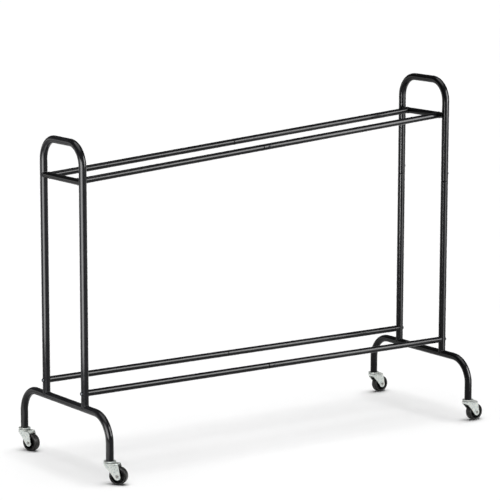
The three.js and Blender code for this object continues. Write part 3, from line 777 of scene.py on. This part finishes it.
def shifted(tree, mesh, z):
    """A mesh moved along Z by a worked-out height."""
    offset = add(tree, "ShaderNodeCombineXYZ", {"Z": z})
    return add(tree, "GeometryNodeTransform", {"Geometry": mesh, "Translation": offset})


screw_tree, given = geometry_tree("domed screw", {
    "Head Radius": "Float", "Head Height": "Float", "Dome Radius": "Float",
    "Shank Radius": "Float", "Shank Length": "Float", "Recess Width": "Float",
    "Hexagon": "Bool", "Finish": "Material"})
head_height, recess_width = given["Head Height"], given["Recess Width"]

half_head = add(screw_tree, "ShaderNodeMath", {0: head_height, 1: 0.5}, operation="MULTIPLY")
drum = add(screw_tree, "GeometryNodeMeshCylinder", {
    "Vertices": HEAD_SIDES, "Radius": given["Head Radius"], "Depth": head_height})
dome_drop = add(screw_tree, "ShaderNodeMath", {
    0: head_height, 1: given["Dome Radius"]}, operation="SUBTRACT")
dome = add(screw_tree, "GeometryNodeMeshUVSphere", {
    "Segments": HEAD_SIDES, "Rings": HEAD_SIDES, "Radius": given["Dome Radius"]})
head = add(screw_tree, "GeometryNodeMeshBoolean", {
    "Mesh 2": [shifted(screw_tree, drum, half_head), shifted(screw_tree, dome, dome_drop)]},
    operation="INTERSECT")
print("a domed head of", HEAD_SIDES, "sides")

# %% The two recesses and the shank
slot_width = add(screw_tree, "ShaderNodeMath", {
    0: recess_width, 1: SLOT_SHARE}, operation="MULTIPLY")
slot_size = add(screw_tree, "ShaderNodeCombineXYZ", {
    "X": recess_width, "Y": slot_width, "Z": head_height})
slot_a = add(screw_tree, "GeometryNodeMeshCube", {"Size": slot_size})
slot_b = add(screw_tree, "GeometryNodeTransform", {
    "Geometry": slot_a, "Rotation": Euler((0, 0, QUARTER))})
cross = add(screw_tree, "GeometryNodeMeshBoolean", {"Mesh 2": [slot_a, slot_b]},
            operation="UNION")
hexagon_radius = add(screw_tree, "ShaderNodeMath", {
    0: recess_width, 1: 0.5}, operation="MULTIPLY")
hexagon = add(screw_tree, "GeometryNodeMeshCylinder", {
    "Vertices": 6, "Radius": hexagon_radius, "Depth": head_height})
recess = add(screw_tree, "GeometryNodeSwitch", {
    "Switch": given["Hexagon"], "False": cross, "True": hexagon}, input_type="GEOMETRY")
punch_height = add(screw_tree, "ShaderNodeMath", {
    0: head_height, 1: PUNCH_SHARE}, operation="MULTIPLY")
punched = add(screw_tree, "GeometryNodeMeshBoolean", {
    "Mesh 1": head, "Mesh 2": shifted(screw_tree, recess, punch_height)},
    operation="DIFFERENCE")

shank = add(screw_tree, "GeometryNodeMeshCylinder", {
    "Vertices": SHANK_SIDES, "Radius": given["Shank Radius"], "Depth": given["Shank Length"]})
shank_drop = add(screw_tree, "ShaderNodeMath", {
    0: given["Shank Length"], 1: SHANK_SHARE}, operation="MULTIPLY")
whole = add(screw_tree, "GeometryNodeJoinGeometry", {
    0: [shifted(screw_tree, shank, shank_drop), punched]})
close_tree(screw_tree, scatter(screw_tree, given["Geometry"], whole), given["Finish"])

# %% [markdown]
# The rail screws sit beside the rail joints and look outward, to the front or the rear.
# The splice screws look to the right, and the bolts of the lower rails come in from both
# ends of the cart through the posts.

# %% Screws and bolts in their holes
SCREW_X = 3 * MM
SCREW_HEIGHT = 752 * MM         # the splice screws, over the floor
HEAD_GAP = 0.3 * MM
outward = {"front": (QUARTER, 0, 0), "rear": (-QUARTER, 0, 0),
           "right": (0, QUARTER, 0), "left": (0, -QUARTER, 0)}
rail_lines = (("upper", HALF_DECK, DECK_HEIGHT + SCREW_X * math.sin(SLOPE)),
              ("lower", HALF_POSTS, LOWER_RAIL))
post_skin = HALF_LENGTH + POST_RADIUS + HEAD_GAP
screws, screw_nodes, bolts, bolt_nodes = [], [], [], []
for side, y in SIDES.items():
    for tier, half_width, z in rail_lines:
        spot = Vector((SCREW_X, y * (half_width + RAIL_RADIUS + HEAD_GAP), z))
        screws.append((MIDDLE + spot, outward[side]))
        screw_nodes.append(f"{tier}_{side}_rail_screw")
    spot = Vector((post_skin, y * HALF_POSTS, SCREW_HEIGHT))
    screws.append((MIDDLE + spot, outward["right"]))
    screw_nodes.append(f"right_{side}_splice_screw")
    for end, x in ENDS.items():
        spot = Vector((x * post_skin, y * HALF_POSTS, LOWER_RAIL))
        bolts.append((MIDDLE + spot, outward[end]))
        bolt_nodes.append(f"{end}_{side}_rail_bolt")

pan_heads = grow("pan_head_screws", screw_tree, spots_at("screws", screws), {
    "Head Radius": 4.2 * MM, "Head Height": 2.6 * MM, "Dome Radius": 7.4 * MM,
    "Shank Radius": 2.4 * MM, "Shank Length": 9.5 * MM, "Recess Width": 4.4 * MM,
    "Hexagon": False, "Finish": black_oxide})
seat(pan_heads, "frame", "black_screw", *screw_nodes)
button_heads = grow("button_head_bolts", screw_tree, spots_at("bolts", bolts), {
    "Head Radius": 5.4 * MM, "Head Height": 4.0 * MM, "Dome Radius": 7.0 * MM,
    "Shank Radius": 3.0 * MM, "Shank Length": 43 * MM, "Recess Width": 4.6 * MM,
    "Hexagon": True, "Finish": black_oxide})
seat(button_heads, "frame", "black_screw", *bolt_nodes)

# %% [markdown]
# The threaded plugs inside the rail ends are only seen through a joint line, so the
# measured solids stay as they are and only take the zinc finish.

# %% Plugs
for end in ENDS:
    for side in SIDES:
        plug_solid = frame["nodes"][f"{end}_{side}_rail_plug"]
        plug_solid.data.materials.clear()
        plug_solid.data.materials.append(zinc_plate)
        print(plug_solid.name, "in", zinc_plate.name)

# %% [markdown]
# ## Casters
# A swivel caster is built round two axes. Its upright pin is riveted through two pressed
# races with a ring of balls between them, and the fork trails the wheel behind that pin,
# so the wheel always swings round to follow the push. The four casters stand at four
# different headings, as they were left when the cart was last rolled.
#
# Every turned part starts as a profile of corner points, each with its own small
# rounding, since no pressed or moulded edge is truly sharp.

# %% Where the casters stand
TRAIL = 25.5 * MM
WHEEL_RADIUS = 25.5 * MM
HEADINGS = {"left_front": -51, "left_rear": -72, "right_front": 1, "right_rear": 3}


def swivel(corner):
    """The place and turn of one caster's upright axis."""
    end, side = corner.split("_")
    place = MIDDLE + Vector((ENDS[end] * HALF_LENGTH, SIDES[side] * HALF_FEET, 0))
    return Matrix.Translation(place) @ Matrix.Rotation(math.radians(HEADINGS[corner]), 4, "Z")


def axle_place(corner):
    """The place of the wheel's axle, with the turned parts' Z laid along it."""
    return (swivel(corner) @ Matrix.Translation((TRAIL, 0, WHEEL_RADIUS))
            @ Matrix.Rotation(-QUARTER, 4, "X"))


def eased(corners, steps=4, closed=True):
    """A profile in metres from (radius, height, rounding) corners in millimetres."""
    points, count = [], len(corners)
    for i, (radius, height, ease) in enumerate(corners):
        here = Vector((radius, height))
        if ease == 0 or (not closed and i in (0, count - 1)):
            points.append(here)
            continue
        before = Vector(corners[i - 1][:2])
        after = Vector(corners[(i + 1) % count][:2])
        start = here + (before - here).normalized() * ease
        stop = here + (after - here).normalized() * ease
        for k in range(steps + 1):
            t = k / steps
            points.append(start * (1 - t) ** 2 + here * 2 * t * (1 - t) + stop * t ** 2)
    return [(p.x * MM, p.y * MM) for p in points]


def mirrored(half):
    """The lower half of a profile that is the same above and below."""
    return [(radius, -height, ease) for radius, height, ease in reversed(half)]


print("caster axes at", [tuple(round(v, 3) for v in swivel(c).translation) for c in HEADINGS])

# %% [markdown]
# ### Stems and sockets
# The stem stands in a nylon socket pushed into the leg. Below the leg it widens into the
# upper race: a pressed cup whose lip turns down over the balls to keep the dirt out.

# %% Stems and sockets
socket_profile = eased([(9.0, 67.3, 0.4), (9.0, 97, 0.8), (5.3, 97, 0.4), (5.3, 67.3, 0.4)])
stem_profile = eased([
    (0, 56, 0), (6.8, 56, 1.4), (6.8, 58.3, 0.3), (4.4, 58.3, 0.2), (4.4, 64.2, 0.2),
    (16.3, 64.2, 0.5), (16.3, 63.4, 0.2), (17.6, 63.4, 0.4), (17.6, 66.6, 1.5),
    (6.2, 66.6, 0.3), (4.8, 66.8, 0.4), (4.8, 94.6, 1.6), (0, 94.6, 0)], closed=False)
for corner in HEADINGS:
    socket = turned(f"{corner}_socket_moulding", socket_profile, sides=48)
    socket.transform(swivel(corner))
    seat(new_piece(socket.name, socket, socket_nylon), "frame", "socket_plastic",
         f"{corner}_stem_socket")
    stem = turned(f"{corner}_stem_and_upper_race", stem_profile, sides=64)
    stem.transform(swivel(corner))
    seat(new_piece(stem.name, stem, zinc_plate), "frame", "zinc_plate", f"{corner}_caster_stem")

# %% [markdown]
# ### Bearing balls
# Balls are the thing that repeats here, so a small tree rings them round each stem. They
# lie in the groove between the two races, where the light only just reaches them.

# %% Balls
BALL_LEVEL = 62.55      # millimetres over the floor

ball_tree, given = geometry_tree("ring of bearing balls", {
    "Ball Radius": "Float", "Ring Radius": "Float", "Count": "Int", "Finish": "Material"})
circle = add(ball_tree, "GeometryNodeMeshCircle", {
    "Vertices": given["Count"], "Radius": given["Ring Radius"]})
ball = add(ball_tree, "GeometryNodeMeshIcoSphere", {
    "Radius": given["Ball Radius"], "Subdivisions": 2})
ring = add(ball_tree, "GeometryNodeInstanceOnPoints", {"Points": circle, "Instance": ball})
close_tree(ball_tree, scatter(ball_tree, given["Geometry"], ring), given["Finish"])

ring_spots = [(swivel(corner).translation + Vector((0, 0, BALL_LEVEL)) * MM,
               (0, 0, math.radians(heading))) for corner, heading in HEADINGS.items()]
balls = grow("bearing_balls", ball_tree, spots_at("rings", ring_spots), {
    "Ball Radius": 1.15 * MM, "Ring Radius": 13.3 * MM, "Count": 32,
    "Finish": oiled_steel_and_painted_shade}, crisp=60)
seat(balls, "frame", "zinc_plate", *[f"{corner}_ball_ring" for corner in HEADINGS])

# %% [markdown]
# ### Forks
# The fork is one blank of steel a little over two millimetres thick. A press cuts its
# outline, draws a round head with a skirt for the lower race and folds both cheeks down
# behind it over rounded shoulders. Here the blank is laid as rows that run fore and aft:
# each row knows where it lies on the folded section, and the outline says where it starts
# and stops. A second skin, one sheet thickness inside, closes the blank along its edge.

# %% The outline of a cheek, in millimetres as the profiles are
CHEEK, SHEET, CROWN, SHOULDER = 14.2, 2.2, 61.0, 4.4
TIP_X, TIP_Z, TIP = 25.5, 24.3, 9.3                       # the round lower end
EDGE = (Vector((-10.4, 52.0)), Vector((-4.0, 47.5)), Vector((18.1, 18.6)))
HEEL_X, HEEL_Z = 30, 50                                   # a bend in the rear edge
LEAN, TAPER = 3.4, 4.8                                    # how far it comes in above, below


def tip_reach(z):
    """Half the width of the round end at a height."""
    return math.sqrt(max(TIP ** 2 - (TIP_Z - z) ** 2, 0))


def front_edge(z):
    """Where the cheek begins at a height: a slight S that runs into the round end."""
    if z >= EDGE[0].y:
        return EDGE[0].x
    if z <= EDGE[2].y:
        return TIP_X - tip_reach(z)
    low, high = 0.0, 1.0
    for _ in range(24):
        t = (low + high) / 2
        spot = EDGE[0] * (1 - t) ** 2 + EDGE[1] * 2 * t * (1 - t) + EDGE[2] * t ** 2
        low, high = (t, high) if spot.y > z else (low, t)
    return spot.x


def back_edge(z):
    """Where the cheek ends at a height: nearly upright, then round the end."""
    if z >= HEEL_Z:
        return HEEL_X - LEAN * (z - HEEL_Z) / (CROWN - HEEL_Z)
    if z >= TIP_Z:
        return TIP_X + TIP - TAPER * (z - TIP_Z) / (HEEL_Z - TIP_Z)
    return TIP_X + tip_reach(z)


for z in (55, 40, 25):
    print("at", z, "mm a cheek runs from", round(front_edge(z), 1), "to", round(back_edge(z), 1))

# %% The rows of the folded blank
ROUND_ROWS, WALL_ROWS, SHOULDER_ROWS, CROWN_ROWS = 10, 16, 8, 4
COLUMNS = 22
RIB_HEIGHT, RIB_X, RIB_WIDTH = 0.5, 12, 3.5
RIB_FOOT, RIB_TOP, RIB_FADE = 30, CROWN - 3, 8


def fork_rows():
    """Stations over the folded section: place across, height, and direction outward."""
    foot = TIP_Z - TIP
    rows = [(CHEEK, foot + TIP * (1 - math.cos(QUARTER * k / ROUND_ROWS)), 1.0, 0.0)
            for k in range(ROUND_ROWS + 1)]
    wall = CROWN - SHOULDER - TIP_Z
    rows += [(CHEEK, TIP_Z + wall * k / WALL_ROWS, 1.0, 0.0) for k in range(1, WALL_ROWS)]
    for k in range(SHOULDER_ROWS + 1):
        a = QUARTER * k / SHOULDER_ROWS
        rows.append((CHEEK - SHOULDER * (1 - math.cos(a)), CROWN - SHOULDER * (1 - math.sin(a)),
                     math.cos(a), math.sin(a)))
    half = rows + [((CHEEK - SHOULDER) * (1 - k / CROWN_ROWS), CROWN, 0.0, 1.0)
                   for k in range(1, CROWN_ROWS)]
    return half + [(0, CROWN, 0.0, 1.0)] + [(-y, z, -ny, nz) for y, z, ny, nz in reversed(half)]


def pressed_rib(x, z):
    """How far the faint upright rib of a cheek stands out at a point."""
    fade = min(1, max(0, (z - RIB_FOOT) / RIB_FADE)) * min(1, max(0, (RIB_TOP - z) / RIB_FADE))
    return RIB_HEIGHT * math.exp(-((x - RIB_X) / RIB_WIDTH) ** 2) * fade


print("the blank is laid in", len(fork_rows()), "rows")

# %% Both skins of the blank
def fork_mesh():
    """Both skins of the folded blank, joined round the edge."""
    shape = bmesh.new()
    skins = []
    for depth in (0.0, SHEET):
        skin = []
        for y, z, ny, nz in fork_rows():
            start, stop = front_edge(z), max(back_edge(z), front_edge(z) + 0.02)
            line = []
            for c in range(COLUMNS + 1):
                x = start + (stop - start) * (1 - math.cos(math.pi * c / COLUMNS)) / 2
                out = pressed_rib(x, z) - depth
                line.append(shape.verts.new(Vector((x, y + out * ny, z - depth * nz)) * MM))
            skin.append(line)
        skins.append(skin)
    outer, inner = skins
    for r in range(len(outer) - 1):
        for c in range(COLUMNS):
            shape.faces.new((outer[r][c], outer[r][c + 1], outer[r + 1][c + 1], outer[r + 1][c]))
            shape.faces.new((inner[r][c], inner[r + 1][c], inner[r + 1][c + 1], inner[r][c + 1]))
        for c in (0, COLUMNS):
            shape.faces.new((outer[r][c], outer[r + 1][c], inner[r + 1][c], inner[r][c]))
    for r in (0, len(outer) - 1):
        for c in range(COLUMNS):
            shape.faces.new((outer[r][c], outer[r][c + 1], inner[r][c + 1], inner[r][c]))
    return closed_mesh("blank", shape)


print("a blank has", 2 * len(fork_rows()) * (COLUMNS + 1), "points")

# %% [markdown]
# The head's skirt hangs round the front as a short wall that grows deeper toward both
# cheeks, and the lower race is pressed into the head. Blank, skirt and race hold together
# for good, so they make one piece. Its edges are then rounded, as tumbling leaves them.

# %% Forks
SKIRT_RADIUS, SKIRT_TOP, SKIRT_REACH, SKIRT_STEPS = 17.6, 60, 56, 24
SKIRT_LOW, SKIRT_DIP = 55.5, 3.3
EDGE_ROUNDING = 0.35 * MM


def skirt_mesh():
    """The wall that hangs from the head round the front and meets both cheeks."""
    shape = bmesh.new()
    inside = SKIRT_RADIUS - SHEET
    sections = []
    for k in range(SKIRT_STEPS + 1):
        part = 2 * k / SKIRT_STEPS - 1
        a = math.pi + math.radians(SKIRT_REACH) * part
        low = SKIRT_LOW - SKIRT_DIP * part ** 2
        corners = [(SKIRT_RADIUS, low), (SKIRT_RADIUS, SKIRT_TOP),
                   (inside, SKIRT_TOP), (inside, low)]
        sections.append([shape.verts.new(Vector((r * math.cos(a), r * math.sin(a), z)) * MM)
                         for r, z in corners])
    for one, two in zip(sections, sections[1:]):
        for i in range(4):
            shape.faces.new((one[i], one[(i + 1) % 4], two[(i + 1) % 4], two[i]))
    shape.faces.new(sections[0])
    shape.faces.new(sections[-1])
    return closed_mesh("skirt", shape)


def joined(name, *meshes):
    """Several closed shells in one mesh, as parts that are pressed together."""
    shape = bmesh.new()
    for mesh in meshes:
        shape.from_mesh(mesh)
    mesh = bpy.data.meshes.new(name)
    shape.to_mesh(mesh)
    shape.free()
    return mesh


def soften(piece, width, steps=2):
    """Rounds the crisp edges of a piece, as tumbling, moulding or plating does."""
    bevel = piece.modifiers.new("round edges", "BEVEL")
    bevel.width = width
    bevel.segments = steps
    bevel.limit_method = "ANGLE"
    bevel.angle_limit = math.radians(CRISP)
    bevel.harden_normals = True
    return piece


race_profile = eased([
    (0, 58.8, 0), (12.4, 58.8, 0.3), (14.4, 56.6, 0.4), (17.6, 59.4, 0.8), (17.6, 61.8, 0.5),
    (16.3, 61.8, 0.3), (16.3, 61.0, 0.2), (11.2, 61.0, 0.3), (10.6, 61.3, 0.2),
    (0, 61.3, 0)], closed=False)
for corner in HEADINGS:
    race = turned("lower race", race_profile, sides=64)
    fork = joined(f"{corner}_pressed_fork", fork_mesh(), skirt_mesh(), race)
    fork.transform(swivel(corner))
    piece = soften(new_piece(fork.name, fork, zinc_plate, crisp=40), EDGE_ROUNDING)
    seat(piece, f"{corner}_caster", "zinc_plate", f"{corner}_fork")

# %% [markdown]
# ### Axles
# The axle is a stepped pin whose thin ends pass through the cheeks and are peened over,
# which leaves a low dome with a small dimple from the tool at each side.

# %% Axles
half_axle = [(3.9, 11.6, 0.2), (3.0, 11.6, 0.1), (3.0, 14.5, 0.1), (4.6, 14.5, 0.3),
             (3.6, 16.1, 0.7), (1.5, 16.3, 0.3), (1.1, 15.9, 0.2), (0, 15.9, 0)]
axle_profile = eased(mirrored(half_axle) + half_axle, closed=False)
# The axle takes the darker steel, which also paints the shade round its peened ends.
for corner in HEADINGS:
    axle = turned(f"{corner}_riveted_axle", axle_profile, sides=40)
    axle.transform(axle_place(corner))
    seat(new_piece(axle.name, axle, oiled_steel_and_painted_shade), f"{corner}_caster", "zinc_plate",
         f"{corner}_axle")

# %% [markdown]
# ### Wheel centres
# The wheel centre is a moulding: a boss and a rim joined by a thin web, with eight ribs
# that keep it stiff without a thick wall that would sink as it cools. The boss and rim
# are turned, and a tree rings the ribs round them.

# %% Wheel centres
rib_tree, given = geometry_tree("ring of ribs", {
    "Inner Radius": "Float", "Outer Radius": "Float", "Thickness": "Float",
    "Depth": "Float", "Count": "Int", "Finish": "Material"})
reach = add(rib_tree, "ShaderNodeMath", {
    0: given["Outer Radius"], 1: given["Inner Radius"]}, operation="SUBTRACT")
both = add(rib_tree, "ShaderNodeMath", {
    0: given["Outer Radius"], 1: given["Inner Radius"]}, operation="ADD")
middle = add(rib_tree, "ShaderNodeMath", {0: both, 1: 0.5}, operation="MULTIPLY")
rib_size = add(rib_tree, "ShaderNodeCombineXYZ", {
    "X": reach, "Y": given["Thickness"], "Z": given["Depth"]})
rib = add(rib_tree, "GeometryNodeTransform", {
    "Geometry": add(rib_tree, "GeometryNodeMeshCube", {"Size": rib_size}),
    "Translation": add(rib_tree, "ShaderNodeCombineXYZ", {"X": middle})})
hub_points = add(rib_tree, "GeometryNodeMeshCircle", {"Vertices": given["Count"], "Radius": 1e-5})
share = add(rib_tree, "ShaderNodeMath", {0: 2 * math.pi, 1: given["Count"]}, operation="DIVIDE")
each = add(rib_tree, "ShaderNodeMath", {
    0: add(rib_tree, "GeometryNodeInputIndex"), 1: share}, operation="MULTIPLY")
spin = add(rib_tree, "FunctionNodeEulerToRotation", {
    "Euler": add(rib_tree, "ShaderNodeCombineXYZ", {"Z": each})})
ribs = add(rib_tree, "GeometryNodeInstanceOnPoints", {
    "Points": hub_points, "Instance": rib, "Rotation": spin})
wheel_centre = add(rib_tree, "GeometryNodeJoinGeometry", {0: [ribs, given["Geometry"]]})
close_tree(rib_tree, wheel_centre, given["Finish"])

hub_half = [(20.2, 9.8, 0.5), (17.6, 9.8, 0.6), (17.0, 2.6, 1.0), (7.6, 2.6, 1.0),
            (7.0, 11.4, 0.5), (4.6, 11.4, 0.3)]
hub_profile = eased(hub_half + mirrored(hub_half))
for corner in HEADINGS:
    hub = grow(f"{corner}_moulded_hub", rib_tree, turned("hub", hub_profile, sides=96), {
        "Inner Radius": 6.6 * MM, "Outer Radius": 17.9 * MM, "Thickness": 1.5 * MM,
        "Depth": 14 * MM, "Count": 8, "Finish": wheel_plastic})
    hub.data.transform(axle_place(corner))
    seat(hub, f"{corner}_wheel", "wheel_plastic", f"{corner}_wheel_hub")

# %% [markdown]
# ### Treads
# The tread is moulded over the rim in soft rubber. Its face is very slightly crowned, its
# shoulders are round, and a hair-thin seam runs round the middle where the two halves of
# the mould met.

# %% Treads
mould_seam = [(25.56, 0.0, 0)]
tread_half = [(25.5, 0.35, 0), (25.48, 3.0, 0), (25.35, 7.4, 1.0), (25.0, 10.2, 2.2),
              (22.4, 10.2, 0.4), (21.9, 9.8, 0.3), (20.7, 9.8, 0.2)]
tread_profile = eased(mould_seam + tread_half + mirrored(tread_half))
for corner in HEADINGS:
    tread = turned(f"{corner}_moulded_tread", tread_profile, sides=128)
    tread.transform(axle_place(corner))
    seat(new_piece(tread.name, tread, tread_rubber), f"{corner}_wheel", "tyre_rubber",
         f"{corner}_tyre")
